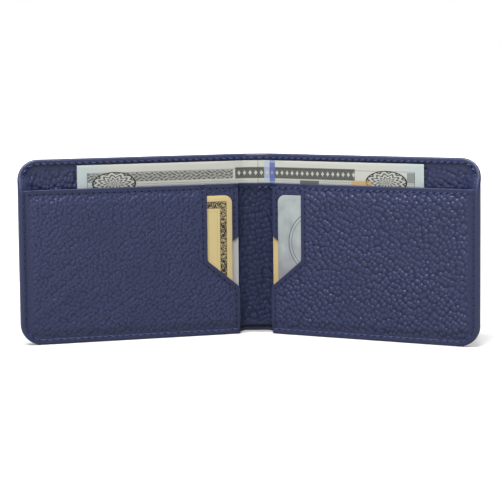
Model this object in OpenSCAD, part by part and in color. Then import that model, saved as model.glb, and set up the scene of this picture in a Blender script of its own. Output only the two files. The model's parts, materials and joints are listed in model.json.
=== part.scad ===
// Slim two-leaf wallet in pebbled leather, standing half open on its lower edge.
// Two leaves fold on a narrow spine. Each leaf has a rear and a front card pocket that
// open towards the spine, and a note compartment behind them that opens upwards.
// X runs along the spread leaves, +Y points out of the outer cover, +Z is up.
// The origin is on the lower edge of the spine, in the middle of its cover leather.

/* [Leaves] */
// Height of the wallet
wallet_h = 77; // [76:0.5:80]
// Length of one leaf, from its fold line to its outer edge
leaf_len = 99; // [98:0.5:104]
// Radius of the outer corners
corner_r = 9; // [6:0.5:10.5]
// Distance between the two fold lines
spine_w = 9; // [9:0.1:10]
// How far the left leaf is turned forward from flat
open_left = 18; // [0:0.5:40]
// How far the right leaf is turned forward from flat
open_right = 29; // [0:0.5:40]

/* [Pockets] */
// Height of the divider's top edge, which is also the top of the pockets
divider_h = 64.5; // [63:0.1:65.5]
// Distance from the fold line to the pockets' open edge
pocket_start = 3.8; // [3.4:0.1:4.4]
// Distance from the fold line to the front pocket's edge above its cut-out
front_edge_u = 18.3; // [16:0.1:22]
// Height where the front pocket's slanted edge leaves its lower straight edge
front_slant_low = 20.2; // [18:0.1:24]
// Height where the front pocket's slanted edge reaches its upper straight edge
front_slant_high = 32; // [28:0.1:36]
// Height of the top of the rear pocket's thumb notch
rear_notch_top = 41.7; // [40:0.1:44]
// Height of the bottom of the rear pocket's thumb notch
rear_notch_bottom = 17; // [16:0.1:20]
// Depth of the rear pocket's thumb notch
rear_notch_depth = 8; // [6:0.1:10]
// Slope of the thumb notch's two ends, in degrees from the panel's height
rear_notch_slope = 34; // [28:1:40]

/* [Leather] */
// Thickness of the outer cover
cover_t = 1; // [0.8:0.1:1.2]
// Thickness of the lining of the note compartment
lining_t = 0.5; // [0.4:0.1:0.6]
// Thickness of the divider
divider_t = 0.6; // [0.5:0.1:0.7]
// Thickness of the rear pocket panel
rear_t = 0.6; // [0.5:0.1:0.6]
// Thickness of the front pocket panel
front_t = 0.7; // [0.5:0.1:0.7]
// Width of the edge turned over to the inside
lip_w = 2.6; // [2.4:0.1:3]
// Thickness of the edge turned over to the inside
lip_t = 0.5; // [0.4:0.05:0.5]
// Thickness of the stiffening board inside each cover
board_t = 0.3; // [0.2:0.05:0.4]

/* [Contents] */
// Length of a card
card_l = 85.6; // [85.4:0.1:85.8]
// Height of a card
card_h = 54; // [53.8:0.1:54]
// Thickness of a card
card_t = 0.76; // [0.7:0.01:0.8]
// Length of the banknote
note_l = 156; // [140:1:160]
// Height of the banknote
note_h = 66.3; // [62:0.1:67]
// Thickness of the folded notes
note_t = 0.3; // [0.2:0.05:0.35]

/* [Sewing] */
// Distance of the edge seam from the outer edge
seam_inset = 1.9; // [1.6:0.1:2]
// Distance of a pocket seam from the panel's own edge
edge_seam = 1.9; // [1.6:0.1:2.2]
// Width of a thread
thread_w = 0.5; // [0.4:0.05:0.6]
// Thickness of a thread
thread_t = 0.25; // [0.2:0.05:0.3]

/* [Hidden] */
$fn = 64;
hinge_x = spine_w / 2;

// How far a cutting shape runs past what it cuts
over = 1;

// Gaps between neighbouring solids
fold_gap = 0.15;
divider_gap = 0.35;
divider_fold_gap = 0.8;
side_play = 0.1;
floor_play = 0.2;

// Thickness of the rim's outer wall, and of the slots for a card and for notes
wall_t = 0.8;
card_gap = 0.9;
note_gap = 1;

// Levels through a leaf, measured backwards from the fold lines' plane
divider_front = -divider_t;
rear_back = divider_front - card_gap;
rear_front = rear_back - rear_t;
front_back = rear_front - card_gap;
front_front = front_back - front_t;
lip_front = front_front - lip_t;
lining_front = note_gap;
lining_back = lining_front + lining_t;
board_back = lining_back + board_t;
cover_back = board_back + cover_t;
low_lip_front = lining_front - lip_t;

// Seam allowances that close the pockets and the note compartment
hem = 3.2;
divider_hem = hem + 1;
card_floor = 5.4;
note_floor = 7.5;
board_inset = 5;
spine_notch = 3.4;

// Insets from the cover's outline
panel_inset = wall_t + side_play;

// Places of the contents
card_corner_r = 3.18;
rear_card_u = pocket_start;
front_card_u = pocket_start + 3.2;
card_z = card_floor + floor_play;
note_z = note_floor + floor_play;
note_front = 0.1;
note_fold_gap = 0.2;

// Panels' cut-outs, and the part of the divider on the spine
front_slope = atan2(front_slant_high - front_slant_low, front_edge_u - pocket_start);
rear_slope_rise = rear_notch_depth * tan(rear_notch_slope);
divider_spine_w = spine_w - 2 * divider_fold_gap;

// Grooves that hold the threads, and where the threads stop short
groove_w = thread_w + 0.1;
seam_stop = 0.6;
notch_seam_stop = 0.4;
seam_end = leaf_len - lip_w - 0.2;

// Colours
cover_colour = [0.20, 0.22, 0.38];
panel_colour = [0.22, 0.24, 0.41];
thread_colour = [0.20, 0.27, 0.55];
gold = [0.84, 0.75, 0.52];
silver = [0.74, 0.76, 0.78];
grey = [0.68, 0.68, 0.68];
paper = [0.84, 0.87, 0.85];
board_colour = [0.55, 0.50, 0.42];

// ---- placing ----

// Moves children from the fold lines' plane to the object's frame.
module in_frame() {
    translate([0, -(cover_back - cover_t / 2), 0]) children();
}

// Puts a leaf drawn with u along +X on the left (side -1) or right (side 1) of the spine.
module on_leaf(side) {
    in_frame()
        translate([side * hinge_x, 0, 0])
            rotate([0, 0, side < 0 ? open_left : -open_right])
                if (side < 0) mirror([1, 0, 0]) children();
                else children();
}

// A flat layer between two levels, from an outline drawn in u and z.
module layer(from_level, to_level) {
    translate([0, to_level, 0])
        rotate([90, 0, 0])
            linear_extrude(to_level - from_level) children();
}

// ---- outlines ----

// Leaf outline inset from the cover's edge; square at the fold and at a lowered top.
module leaf_outline(inset, start, top = wallet_h) {
    radius = corner_r - inset;
    far = leaf_len - inset;
    rounded_top = top > wallet_h - corner_r;
    high = rounded_top ? top - inset : top;
    translate([start, inset]) square([far - radius - start, high - inset]);
    translate([start, inset + radius])
        square([far - start, high - (rounded_top ? radius : 0) - inset - radius]);
    translate([far - radius, inset + radius]) circle(radius);
    if (rounded_top) translate([far - radius, high - radius]) circle(radius);
}

// Band between two insets, left out on the fold side.
module edge_band(outer, inner, start) {
    difference() {
        leaf_outline(outer, start);
        leaf_outline(inner, start - over);
    }
}

// Everything below the divider's top edge, from start outwards.
module below_divider(start) {
    translate([start, -over]) square([leaf_len + over - start, divider_h + over]);
}

// Everything above the divider's top edge.
module above_divider() {
    translate([-over, divider_h]) square([leaf_len + 2 * over, wallet_h]);
}

// Front pocket's open edge moved into the panel by a distance.
function front_edge(d, low, high) =
    let (drop = d * (1 - sin(front_slope)) / cos(front_slope)) [
        [pocket_start + d, low],
        [pocket_start + d, front_slant_low - drop],
        [front_edge_u + d, front_slant_high - drop],
        [front_edge_u + d, high]
    ];

// Rear pocket's open edge, with its thumb notch.
function rear_edge() = [
    [pocket_start, -over],
    [pocket_start, rear_notch_bottom],
    [pocket_start + rear_notch_depth, rear_notch_bottom + rear_slope_rise],
    [pocket_start + rear_notch_depth, rear_notch_top - rear_slope_rise],
    [pocket_start, rear_notch_top],
    [pocket_start, wallet_h]
];

// Points of a strip between an edge and the same edge moved further in.
function strip(outer, inner) = concat(outer, [for (i = [len(inner) - 1:-1:0]) inner[i]]);

module pocket_outline(edge) {
    difference() {
        leaf_outline(panel_inset, -over, divider_h);
        polygon(concat([[-2 * over, -over]], edge, [[-2 * over, wallet_h]]));
    }
}

module front_outline() {
    pocket_outline(front_edge(0, -over, wallet_h));
}

module rear_outline() {
    pocket_outline(rear_edge());
}

// Seam allowance along the top, outer and lower edges of a pocket.
module pocket_hem(floor_z) {
    difference() {
        children();
        translate([-over, floor_z]) square([leaf_len - hem + over, divider_h - hem - floor_z]);
    }
}

// ---- seams, as outlines; width is the groove's or the thread's ----

module edge_seam_line(width, start) {
    edge_band(seam_inset - width / 2, seam_inset + width / 2, start);
}

module front_seam_line(width) {
    low = seam_inset + seam_stop;
    high = divider_h - edge_seam - seam_stop;
    polygon(strip(
        front_edge(edge_seam - width / 2, low, high),
        front_edge(edge_seam + width / 2, low, high)
    ));
}

module rear_seam_line(width) {
    low = rear_notch_top + notch_seam_stop;
    high = divider_h - edge_seam - seam_stop;
    translate([pocket_start + edge_seam - width / 2, low]) square([width, high - low]);
}

module top_seam_line(width, from_u, to_u) {
    translate([from_u, divider_h - edge_seam - width / 2]) square([to_u - from_u, width]);
}

// ---- leaf sub-parts ----

module cover_leaf() {
    difference() {
        union() {
            layer(board_back, cover_back) leaf_outline(0, fold_gap);
            layer(lining_back, board_back) difference() {
                leaf_outline(0, fold_gap);
                leaf_outline(board_inset, fold_gap + board_inset);
            }
            layer(low_lip_front, lining_back) edge_band(0, wall_t, fold_gap);
            layer(low_lip_front, lining_front) intersection() {
                edge_band(0, lip_w, fold_gap);
                above_divider();
            }
            layer(lip_front, low_lip_front) intersection() {
                edge_band(0, wall_t, pocket_start);
                below_divider(pocket_start);
            }
            layer(lip_front, front_front) intersection() {
                edge_band(0, lip_w, pocket_start);
                below_divider(pocket_start);
            }
        }
        layer(cover_back - thread_t, cover_back + over) edge_seam_line(groove_w, fold_gap - over);
        layer(low_lip_front - over, low_lip_front + thread_t) intersection() {
            edge_seam_line(groove_w, fold_gap - over);
            above_divider();
        }
        layer(lip_front - over, lip_front + thread_t) intersection() {
            edge_seam_line(groove_w, pocket_start - over);
            below_divider(pocket_start - over);
        }
    }
}

module board_leaf() {
    layer(lining_back, board_back)
        leaf_outline(board_inset + side_play, fold_gap + board_inset + side_play);
}

module lining_leaf() {
    layer(lining_front, lining_back) leaf_outline(panel_inset, fold_gap);
}

module divider_leaf() {
    difference() {
        union() {
            layer(divider_front, 0) leaf_outline(panel_inset, divider_gap, divider_h);
            layer(0, lining_front) difference() {
                leaf_outline(panel_inset, pocket_start, divider_h);
                translate([0, note_floor]) square([leaf_len - divider_hem, wallet_h]);
            }
        }
        layer(divider_front - over, divider_front + thread_t)
            top_seam_line(groove_w, -over, pocket_start);
        translate([0, 0, -over]) layer(divider_front - over, 0)
            square([pocket_start - fold_gap, spine_notch + over]);
    }
}

module rear_pocket_leaf() {
    difference() {
        union() {
            layer(rear_front, rear_back) rear_outline();
            layer(rear_back, divider_front) pocket_hem(card_floor) rear_outline();
        }
        layer(rear_front - over, rear_front + thread_t) {
            rear_seam_line(groove_w);
            top_seam_line(groove_w, pocket_start - over, front_edge_u);
        }
    }
}

module front_pocket_leaf() {
    difference() {
        union() {
            layer(front_front, front_back) front_outline();
            layer(front_back, rear_front) pocket_hem(card_floor) front_outline();
        }
        layer(front_front - over, front_front + thread_t) {
            front_seam_line(groove_w);
            top_seam_line(groove_w, front_edge_u - over, leaf_len - lip_w);
        }
    }
}

module edge_thread_leaf() {
    layer(cover_back - thread_t, cover_back) edge_seam_line(thread_w, fold_gap);
    layer(low_lip_front, low_lip_front + thread_t) intersection() {
        edge_seam_line(thread_w, fold_gap);
        above_divider();
    }
    layer(lip_front, lip_front + thread_t) intersection() {
        edge_seam_line(thread_w, pocket_start);
        below_divider(pocket_start);
    }
}

module top_thread_leaf() {
    layer(divider_front, divider_front + thread_t)
        top_seam_line(thread_w, divider_gap, pocket_start - side_play);
    layer(rear_front, rear_front + thread_t)
        top_seam_line(thread_w, pocket_start, front_edge_u - side_play);
    layer(front_front, front_front + thread_t)
        top_seam_line(thread_w, front_edge_u, seam_end);
}

module rear_thread_leaf() {
    layer(rear_front, rear_front + thread_t) rear_seam_line(thread_w);
}

module front_thread_leaf() {
    layer(front_front, front_front + thread_t) front_seam_line(thread_w);
}

// ---- contents ----

module card_outline() {
    translate([card_corner_r, 0]) square([card_l - 2 * card_corner_r, card_h]);
    translate([0, card_corner_r]) square([card_l, card_h - 2 * card_corner_r]);
    for (u = [card_corner_r, card_l - card_corner_r], z = [card_corner_r, card_h - card_corner_r])
        translate([u, z]) circle(card_corner_r);
}

module card_leaf(u, back_level) {
    play = (card_gap - card_t) / 2;
    layer(back_level - play - card_t, back_level - play)
        translate([u, card_z]) card_outline();
}

module rear_card_leaf() {
    card_leaf(rear_card_u, divider_front);
}

module front_card_leaf() {
    card_leaf(front_card_u, rear_front);
}

module note_leaf() {
    layer(note_front, note_front + note_t)
        translate([note_fold_gap, note_z])
            square([note_l / 2 - hinge_x - note_fold_gap, note_h]);
}

// ---- spine sub-parts ----

module spine_outline(low, high, width) {
    translate([-width / 2, low]) square([width, high - low]);
}

module spine_edges(outer, inner, width) {
    spine_outline(outer, inner, width);
    spine_outline(wallet_h - inner, wallet_h - outer, width);
}

module spine_seams(width) {
    spine_edges(seam_inset - width / 2, seam_inset + width / 2, spine_w);
}

module cover_spine_body() {
    width = spine_w - 2 * fold_gap;
    difference() {
        union() {
            layer(lining_back, cover_back) spine_outline(0, wallet_h, width);
            layer(low_lip_front, lining_back) spine_edges(0, wall_t, width);
            layer(low_lip_front, lining_front) spine_edges(0, lip_w, width);
        }
        layer(cover_back - thread_t, cover_back + over) spine_seams(groove_w);
        layer(low_lip_front - over, low_lip_front + thread_t) spine_seams(groove_w);
    }
}

module lining_spine_body() {
    layer(lining_front, lining_back)
        spine_outline(panel_inset, wallet_h - panel_inset, spine_w - 2 * fold_gap);
}

module divider_spine_body() {
    difference() {
        layer(divider_front, 0) spine_outline(spine_notch, divider_h, divider_spine_w);
        layer(divider_front - over, divider_front + thread_t)
            top_seam_line(groove_w, -spine_w, spine_w);
    }
}

module cover_thread_body() {
    length = spine_w - 2 * fold_gap;
    for (level = [low_lip_front, cover_back - thread_t])
        layer(level, level + thread_t)
            spine_edges(seam_inset - thread_w / 2, seam_inset + thread_w / 2, length);
}

module divider_thread_body() {
    layer(divider_front, divider_front + thread_t)
        top_seam_line(thread_w, -divider_spine_w / 2, divider_spine_w / 2);
}

module note_middle_body() {
    layer(note_front, note_front + note_t)
        spine_outline(note_z, note_z + note_h, spine_w - 2 * note_fold_gap);
}

// ---- the nodes ----

module cover_spine() { color(cover_colour) in_frame() cover_spine_body(); }
module lining_spine() { color(panel_colour) in_frame() lining_spine_body(); }
module divider_spine() { color(panel_colour) in_frame() divider_spine_body(); }
module cover_thread_spine() { color(thread_colour) in_frame() cover_thread_body(); }
module divider_thread_spine() { color(thread_colour) in_frame() divider_thread_body(); }

module cover(side) { color(cover_colour) on_leaf(side) cover_leaf(); }
module board(side) { color(board_colour) on_leaf(side) board_leaf(); }
module lining(side) { color(panel_colour) on_leaf(side) lining_leaf(); }
module divider(side) { color(panel_colour) on_leaf(side) divider_leaf(); }
module rear_pocket(side) { color(panel_colour) on_leaf(side) rear_pocket_leaf(); }
module front_pocket(side) { color(panel_colour) on_leaf(side) front_pocket_leaf(); }
module edge_thread(side) { color(thread_colour) on_leaf(side) edge_thread_leaf(); }
module top_thread(side) { color(thread_colour) on_leaf(side) top_thread_leaf(); }
module rear_thread(side) { color(thread_colour) on_leaf(side) rear_thread_leaf(); }
module front_thread(side) { color(thread_colour) on_leaf(side) front_thread_leaf(); }
module rear_card(side, shade) { color(shade) on_leaf(side) rear_card_leaf(); }
module front_card(side, shade) { color(shade) on_leaf(side) front_card_leaf(); }
module note_middle() { color(paper) in_frame() note_middle_body(); }
module note(side) { color(paper) on_leaf(side) note_leaf(); }

cover_spine();
lining_spine();
divider_spine();
cover_thread_spine();
divider_thread_spine();
cover(-1);  // cover_left
board(-1);  // board_left
lining(-1);  // lining_left
divider(-1);  // divider_left
rear_pocket(-1);  // rear_pocket_left
front_pocket(-1);  // front_pocket_left
edge_thread(-1);  // edge_thread_left
top_thread(-1);  // top_thread_left
rear_thread(-1);  // rear_thread_left
front_thread(-1);  // front_thread_left
cover(1);  // cover_right
board(1);  // board_right
lining(1);  // lining_right
divider(1);  // divider_right
rear_pocket(1);  // rear_pocket_right
front_pocket(1);  // front_pocket_right
edge_thread(1);  // edge_thread_right
top_thread(1);  // top_thread_right
rear_thread(1);  // rear_thread_right
front_thread(1);  // front_thread_right
rear_card(-1, grey);  // rear_card_left
front_card(-1, gold);  // front_card_left
rear_card(1, gold);  // rear_card_right
front_card(1, silver);  // front_card_right
note_middle();
note(-1);  // note_left
note(1);  // note_right
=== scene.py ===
# Looks of the slim two-leaf wallet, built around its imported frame.
# Leather is shaped flat, in millimetres: u runs along a leaf from its fold line, z is up and v
# goes through the leather towards the back. place() folds the flat shape into the object's frame.
import json
import math

import bpy
import numpy as np
from mathutils import Matrix, Vector
from mathutils.geometry import delaunay_2d_cdt


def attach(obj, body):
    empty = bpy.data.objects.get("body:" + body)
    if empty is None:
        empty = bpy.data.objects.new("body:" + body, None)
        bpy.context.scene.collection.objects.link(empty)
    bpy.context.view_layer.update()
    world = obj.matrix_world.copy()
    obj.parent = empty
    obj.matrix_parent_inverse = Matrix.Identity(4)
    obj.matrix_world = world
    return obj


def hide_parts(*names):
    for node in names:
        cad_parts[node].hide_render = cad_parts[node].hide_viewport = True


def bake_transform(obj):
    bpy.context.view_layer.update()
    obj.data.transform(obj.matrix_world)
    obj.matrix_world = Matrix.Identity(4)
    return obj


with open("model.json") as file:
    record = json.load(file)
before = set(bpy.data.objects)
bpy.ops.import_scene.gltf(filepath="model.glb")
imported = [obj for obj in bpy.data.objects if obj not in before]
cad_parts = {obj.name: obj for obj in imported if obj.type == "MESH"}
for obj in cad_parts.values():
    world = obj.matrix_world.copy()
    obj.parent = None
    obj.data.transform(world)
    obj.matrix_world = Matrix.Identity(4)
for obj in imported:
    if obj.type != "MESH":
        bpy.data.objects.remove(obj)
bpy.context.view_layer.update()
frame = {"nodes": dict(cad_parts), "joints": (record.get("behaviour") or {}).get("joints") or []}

# ---- measures from the frame, in millimetres ----

MM = 0.001
LEFT, RIGHT = -1, 1
SIDES = {LEFT: "left", RIGHT: "right"}
JOINTS = {joint["name"]: joint for joint in frame["joints"]}
HINGE = {side: np.array(JOINTS[SIDES[side] + "_fold"]["pos_m"]) / MM for side in SIDES}
OPEN = {side: math.radians(JOINTS[SIDES[side] + "_fold"]["range_deg"][1]) for side in SIDES}
HINGE_X = HINGE[RIGHT][0]
HINGE_Y = HINGE[RIGHT][1]


def vertex_rows(mesh, kind="co"):
    """Places or normals of a mesh's points, one row each."""
    flat = np.empty(len(mesh.vertices) * 3, np.float32)
    mesh.vertices.foreach_get(kind, flat)
    return flat.reshape(-1, 3)


def node_in_leaf(node, side):
    """A CAD node's points as u, v and z of a leaf."""
    points = vertex_rows(frame["nodes"][node].data).astype(float) / MM
    across, deep = side * points[:, 0] - HINGE_X, points[:, 1] - HINGE_Y
    turn = OPEN[side]
    u = across * math.cos(turn) - deep * math.sin(turn)
    v = across * math.sin(turn) + deep * math.cos(turn)
    return np.column_stack([u, v, points[:, 2]])


def span(node, side):
    """Lowest and highest u, v and z of a CAD node in a leaf's frame."""
    points = node_in_leaf(node, side)
    return points.min(0), points.max(0)


_cover = node_in_leaf("cover_right", RIGHT)
LEAF = _cover[:, 0].max()
HEIGHT = _cover[:, 2].max()
CORNER = LEAF - _cover[_cover[:, 2] < 0.01, 0].max()
DIVIDER_TOP = span("divider_right", RIGHT)[1][2]
NOTE_TOP = span("note_right", RIGHT)[1][2]
NOTE_BASE = span("note_right", RIGHT)[0][2]
NOTE_END = span("note_right", RIGHT)[1][0]
POCKET_U = span("rear_pocket_right", RIGHT)[0][0]

# ---- driving sizes of the leather, in millimetres ----

BEND = 3.2                  # reach of the bend on each side of a fold line
SEAM = 1.9                  # a seam's distance from its edge
PITCH = 3.0                 # from stitch to stitch
RIM_W = 2.4                 # width of the turned edge on the inside
TUCK = 1.35                 # how far inside the cover's edge the panels end, under the rim
FRONT_EDGE_U = 18.3         # front pocket's open edge above its cut-out
SLANT_LOW, SLANT_HIGH = 20.2, 32.0
NOTCH_LOW, NOTCH_HIGH = 17.0, 41.7
NOTCH_DEPTH, NOTCH_RISE = 8.0, 5.4
SPINE_NOTCH = 3.4           # the divider's lower edge on the spine
PANEL_T = 0.62              # thickness of a pocket panel
LINING_T = 0.4
COVER_T = 0.85
SKIVED_T = 0.3              # the cover's thickness where it is pared down at its edge
GROOVE = 0.1                # depth of a seam's groove
FOLD = -HINGE_X             # u of the spine's middle
TOP_SEAM = DIVIDER_TOP - SEAM
FINE = 0.39   # spacing of points on leather that shows its grain
PLAIN = 0.7                 # spacing of points on hidden leather where it bends
EDGE_STEP = 0.5             # spacing of points along an edge
FOLD_ZONE = 4.5             # u up to which hidden leather needs close points
RIM_ZONE = 9.0              # distance from the edge up to which it needs them too


def smooth(t):
    t = np.clip(t, 0.0, 1.0)
    return t * t * (3 - 2 * t)


def climb(value, start, width):
    """0 up to start, 1 from start + width on, and smooth between."""
    return smooth((value - start) / width)


def mix(a, b, t):
    return a + (b - a) * t


def place(side, u, v, z):
    """Folds flat leather points into the object's frame, in millimetres."""
    opening = OPEN[side]
    turn = opening * np.clip((u + BEND) / (2 * BEND), 0, 1)
    radius = BEND / math.tan(opening / 2)
    along = np.where(u < -BEND, u, radius * np.sin(turn) - BEND)
    along = np.where(u > BEND, u * math.cos(opening), along)
    ahead = np.where(u < -BEND, 0.0, radius * (1 - np.cos(turn)))
    ahead = np.where(u > BEND, u * math.sin(opening), ahead)
    x = side * (HINGE_X + along + v * np.sin(turn))
    y = HINGE_Y - ahead + v * np.cos(turn)
    return np.column_stack([x, y, z + 0 * x])


def spread_out(side, u, z):
    """A flat point's place on the leather spread out whole: x from the spine's middle, and z."""
    return np.column_stack([side * (u + HINGE_X), z])


def rim_inset(u, z):
    """How far inside the leaf's outer, upper and lower edges a flat point lies."""
    a, b = LEAF - u, np.minimum(z, HEIGHT - z)
    corner = CORNER - np.hypot(np.maximum(CORNER - a, 0), np.maximum(CORNER - b, 0))
    return np.where((a < CORNER) & (b < CORNER), corner, np.minimum(a, b))


def edge_height(u, z):
    """Height of the nearest point on the leaf's outer or upper edge."""
    across, rise = u - (LEAF - CORNER), z - (HEIGHT - CORNER)
    far = np.maximum(np.hypot(across, rise), 1e-6)
    corner = HEIGHT - CORNER + CORNER * rise / far
    nearest = np.where((HEIGHT - z < LEAF - u) & (z > HEIGHT / 2), HEIGHT, z)
    return np.where((across > 0) & (rise > 0), corner, nearest)


# ---- levels through the leather, as v in millimetres ----

FRONT_V = -3.75             # front pocket's face over its card
REAR_V = -2.1               # rear pocket's face
DIVIDER_V = -0.6            # divider's face
LINING_V = 1.0              # lining's face
COVER_V = 2.75              # outer cover's back, on its pillow
HEM_V = (-3.0, -2.35, -1.7)  # hems of front pocket, rear pocket and divider under the rim
SEWN_V = (-3.08, -2.3, -1.5)  # the same three where they are sewn together at the top
RIM_FRONT_V = (0.45, -3.4)  # rim's inner face: along the thin top edge, and over the pockets
RIM_BACK_V = (2.4, 0.0)     # rim's back: at the spine and the top edge, and at the outer side


def top_share(z):
    """0 where the leaf's edge holds the pockets, 1 at the thin upper edge."""
    return climb(z, 61.5, 14.5)


def bow(u):
    """Leather between the layers of a fold line gives way backwards."""
    return 0.3 * (1 - smooth((np.abs(u) - 0.5) / 2.7))


def rim_front(u, z):
    """Level of the turned edge's inner face."""
    thin, thick = RIM_FRONT_V
    return mix(thin + 0.9 * bow(u), thick, climb(u, 2.7, 1.7) * (1 - top_share(z)))


def rim_back(u, z):
    """Level of the outer cover right beside its edge."""
    return mix(*RIM_BACK_V, climb(u, 2, 14) * (1 - climb(z, 66, 11)))


def cover_back(u, z):
    """Level of the outer cover: a soft pillow between its seams."""
    inset = rim_inset(u, z)
    return mix(rim_back(u, edge_height(u, z)), COVER_V, climb(inset, SEAM, 4.4))


def lining_front(u, z):
    """Level of the note compartment's lining, which climbs to the rim at its edge."""
    rim_z = edge_height(u, z)
    above = smooth((z - DIVIDER_TOP + 2) / 2)
    edge = mix(rim_back(u, rim_z) - 1.05, rim_front(u, rim_z) + 0.5, above)
    clear = climb(rim_inset(u, z), RIM_W, mix(4.0, 6.6, above))
    return mix(np.minimum(edge, LINING_V), LINING_V, clear) + 0.6 * bow(u)


def free_of_rim(u):
    """1 inside the leaf, falling to 0 where the outer rim holds the panels down."""
    return smooth((LEAF - u - 1.5) / 6)


def off_rim(u, z, reach=4.0):
    """0 beside the rim's outer and lower sides, 1 at a distance from them."""
    return smooth((rim_inset(u, np.minimum(z, 40)) - RIM_W) / reach)


def divider_level(u, z):
    edge = mix(1.0, off_rim(u, z, 3.3), climb(u, 2, 3))
    base = mix(HEM_V[2], DIVIDER_V, edge) + bow(u)
    leant = mix(-0.75, SEWN_V[2], climb(u, 2.4, 2.4))
    return mix(base, leant, climb(z, 59.9, 2.6) * free_of_rim(u))


def divider_thickness(u, z):
    """The top edge is turned over, so that it is twice as thick."""
    return mix(0.58, mix(0.7, 1.2, climb(u, 2.4, 2.4)), climb(z, 60.2, 2.4) * free_of_rim(u))


def over_seam(u, z, start, width):
    """1 above the top seam beside an open edge, where a panel lies on the one behind it."""
    return smooth((z - TOP_SEAM + 0.5) / 0.8) * (1 - climb(u, start, width))


def rear_level(u, z):
    base = mix(mix(HEM_V[1], REAR_V, off_rim(u, z)), SEWN_V[1], climb(z, 59.8, 3.4) * free_of_rim(u))
    return mix(base, divider_level(u, z) - 0.06, over_seam(u, z, POCKET_U, 3))


def front_level(u, z):
    """Level of the front pocket, swelling softly over its cards."""
    inner = smooth((rim_inset(u, np.minimum(z, 40)) - 4) / 22) * climb(u, 12, 20)
    belly = 0.2 * inner * climb(DIVIDER_TOP, z, 20)
    base = mix(HEM_V[0], FRONT_V, off_rim(u, z, 4.4)) - belly
    base = mix(base, SEWN_V[0], climb(z, 57.8, 5.7) * free_of_rim(u))
    return mix(base, rear_level(u, z) - 0.06, over_seam(u, z, FRONT_EDGE_U, 3.5))


# ---- leather grain ----

def table_noise(x, y, seed):
    """Smooth random values between 0 and 1, one unit apart."""
    table = np.random.default_rng(seed).random((64, 64))
    ix, iy = np.floor(x).astype(int), np.floor(y).astype(int)
    fx, fy = smooth(x - ix), smooth(y - iy)
    rows = [[table[(ix + i) % 64, (iy + j) % 64] for j in (0, 1)] for i in (0, 1)]
    return mix(mix(rows[0][0], rows[1][0], fx), mix(rows[0][1], rows[1][1], fx), fy)


def pebbles(x, y, seed):
    """Height from 0 to 1 of rounded cells of about unit size, with creases between them."""
    jitter = np.random.default_rng(seed).random((2, 128, 128)) * 0.74 - 0.37
    ix, iy = np.floor(x).astype(int), np.floor(y).astype(int)
    first, second = np.full(x.shape, 9.0), np.full(x.shape, 9.0)
    for i in (-1, 0, 1):
        for j in (-1, 0, 1):
            a, b = (ix + i) % 128, (iy + j) % 128
            far = np.hypot(ix + i + 0.5 + jitter[0, a, b] - x, iy + j + 0.5 + jitter[1, a, b] - y)
            second = np.minimum(second, np.maximum(first, far))
            first = np.minimum(first, far)
    crease = climb(second, first, 0.35)
    return 0.34 * crease + 0.66 * (1 - np.minimum(first / 0.68, 1) ** 2)


class Grain:
    """A leather's pebble pattern: size across and along, lean in degrees, and height. crown is
    the share of the height that lies below the leather's level."""

    def __init__(self, across, along, lean, height, seed, crown=0.75):
        self.across, self.along, self.height, self.seed, self.crown = across, along, height, seed, crown
        self.lean = math.radians(lean)

    def at(self, x, z):
        wander_x = 0.8 * (table_noise(x / 5, z / 5, self.seed + 1) - 0.5)
        wander_z = 0.8 * (table_noise(x / 5, z / 5, self.seed + 2) - 0.5)
        a = math.cos(self.lean) * x + math.sin(self.lean) * z
        b = -math.sin(self.lean) * x + math.cos(self.lean) * z
        large = pebbles((a + wander_x) / self.across, (b + wander_z) / self.along, self.seed)
        small = pebbles(a / self.across * 2.3, b / self.along * 2.3, self.seed + 3)
        swell = 0.82 + 0.36 * table_noise(x / 9, z / 9, self.seed + 4)
        return (0.84 * large + 0.16 * small) * swell


RIGHT_GRAIN = Grain(1.72, 2.25, -32, 0.76, 11)
LEFT_GRAIN = Grain(1.15, 1.85, 36, 0.50, 23)
COVER_GRAIN = Grain(1.8, 2.2, -12, 0.56, 37)
SPINE_GRAIN = Grain(1.75, 2.2, 10, 0.52, 51, 1.08)
LINING_GRAIN = Grain(1.8, 2.2, -20, 0.6, 67)
PLAIN_GRAIN, RIM_GRAIN = 0.36, 0.42     # grain height that colours leather without pebbles

# ---- flat outlines ----

def arc(centre, radius, start, end, count):
    """Points on an arc, with its angles in degrees."""
    angles = np.radians(np.linspace(start, end, count))
    return [(centre[0] + radius * math.cos(a), centre[1] + radius * math.sin(a)) for a in angles]


def chain(points, spacing):
    """The same chain of points with more between them, spacing apart at most."""
    points = [np.array(p, float) for p in points]
    dense = []
    for p, q in zip(points[:-1], points[1:]):
        count = max(1, math.ceil(np.linalg.norm(q - p) / spacing - 1e-6))
        dense += [mix(p, q, i / count) for i in range(count)]
    return np.array(dense + [points[-1]])


def chain_distance(flat, points):
    """Distance of flat points from a chain of points."""
    best = np.full(len(flat), 1e9)
    points = np.array(points, float)
    for p, q in zip(points[:-1], points[1:]):
        step = q - p
        t = np.clip(((flat - p) @ step) / max(step @ step, 1e-12), 0, 1)
        best = np.minimum(best, np.linalg.norm(flat - p - t[:, None] * step, axis=1))
    return best


def inside(flat, outline):
    """Which flat points lie inside a closed outline."""
    odd = np.zeros(len(flat), bool)
    x, z = flat[:, 0], flat[:, 1]
    for (x0, z0), (x1, z1) in zip(outline, np.roll(outline, -1, axis=0)):
        if z0 != z1:
            crosses = (z0 > z) != (z1 > z)
            odd ^= crosses & (x < (x1 - x0) * (z - z0) / (z1 - z0) + x0)
    return odd


def hexagons(low, high, spacing):
    """Points of a hexagonal grid over a box."""
    rows = np.arange(low[1], high[1], spacing * math.sqrt(0.75))
    columns = np.arange(low[0], high[0], spacing)
    x, z = np.meshgrid(columns, rows)
    x[1::2] += spacing / 2
    return np.column_stack([x.ravel(), z.ravel()])


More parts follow.
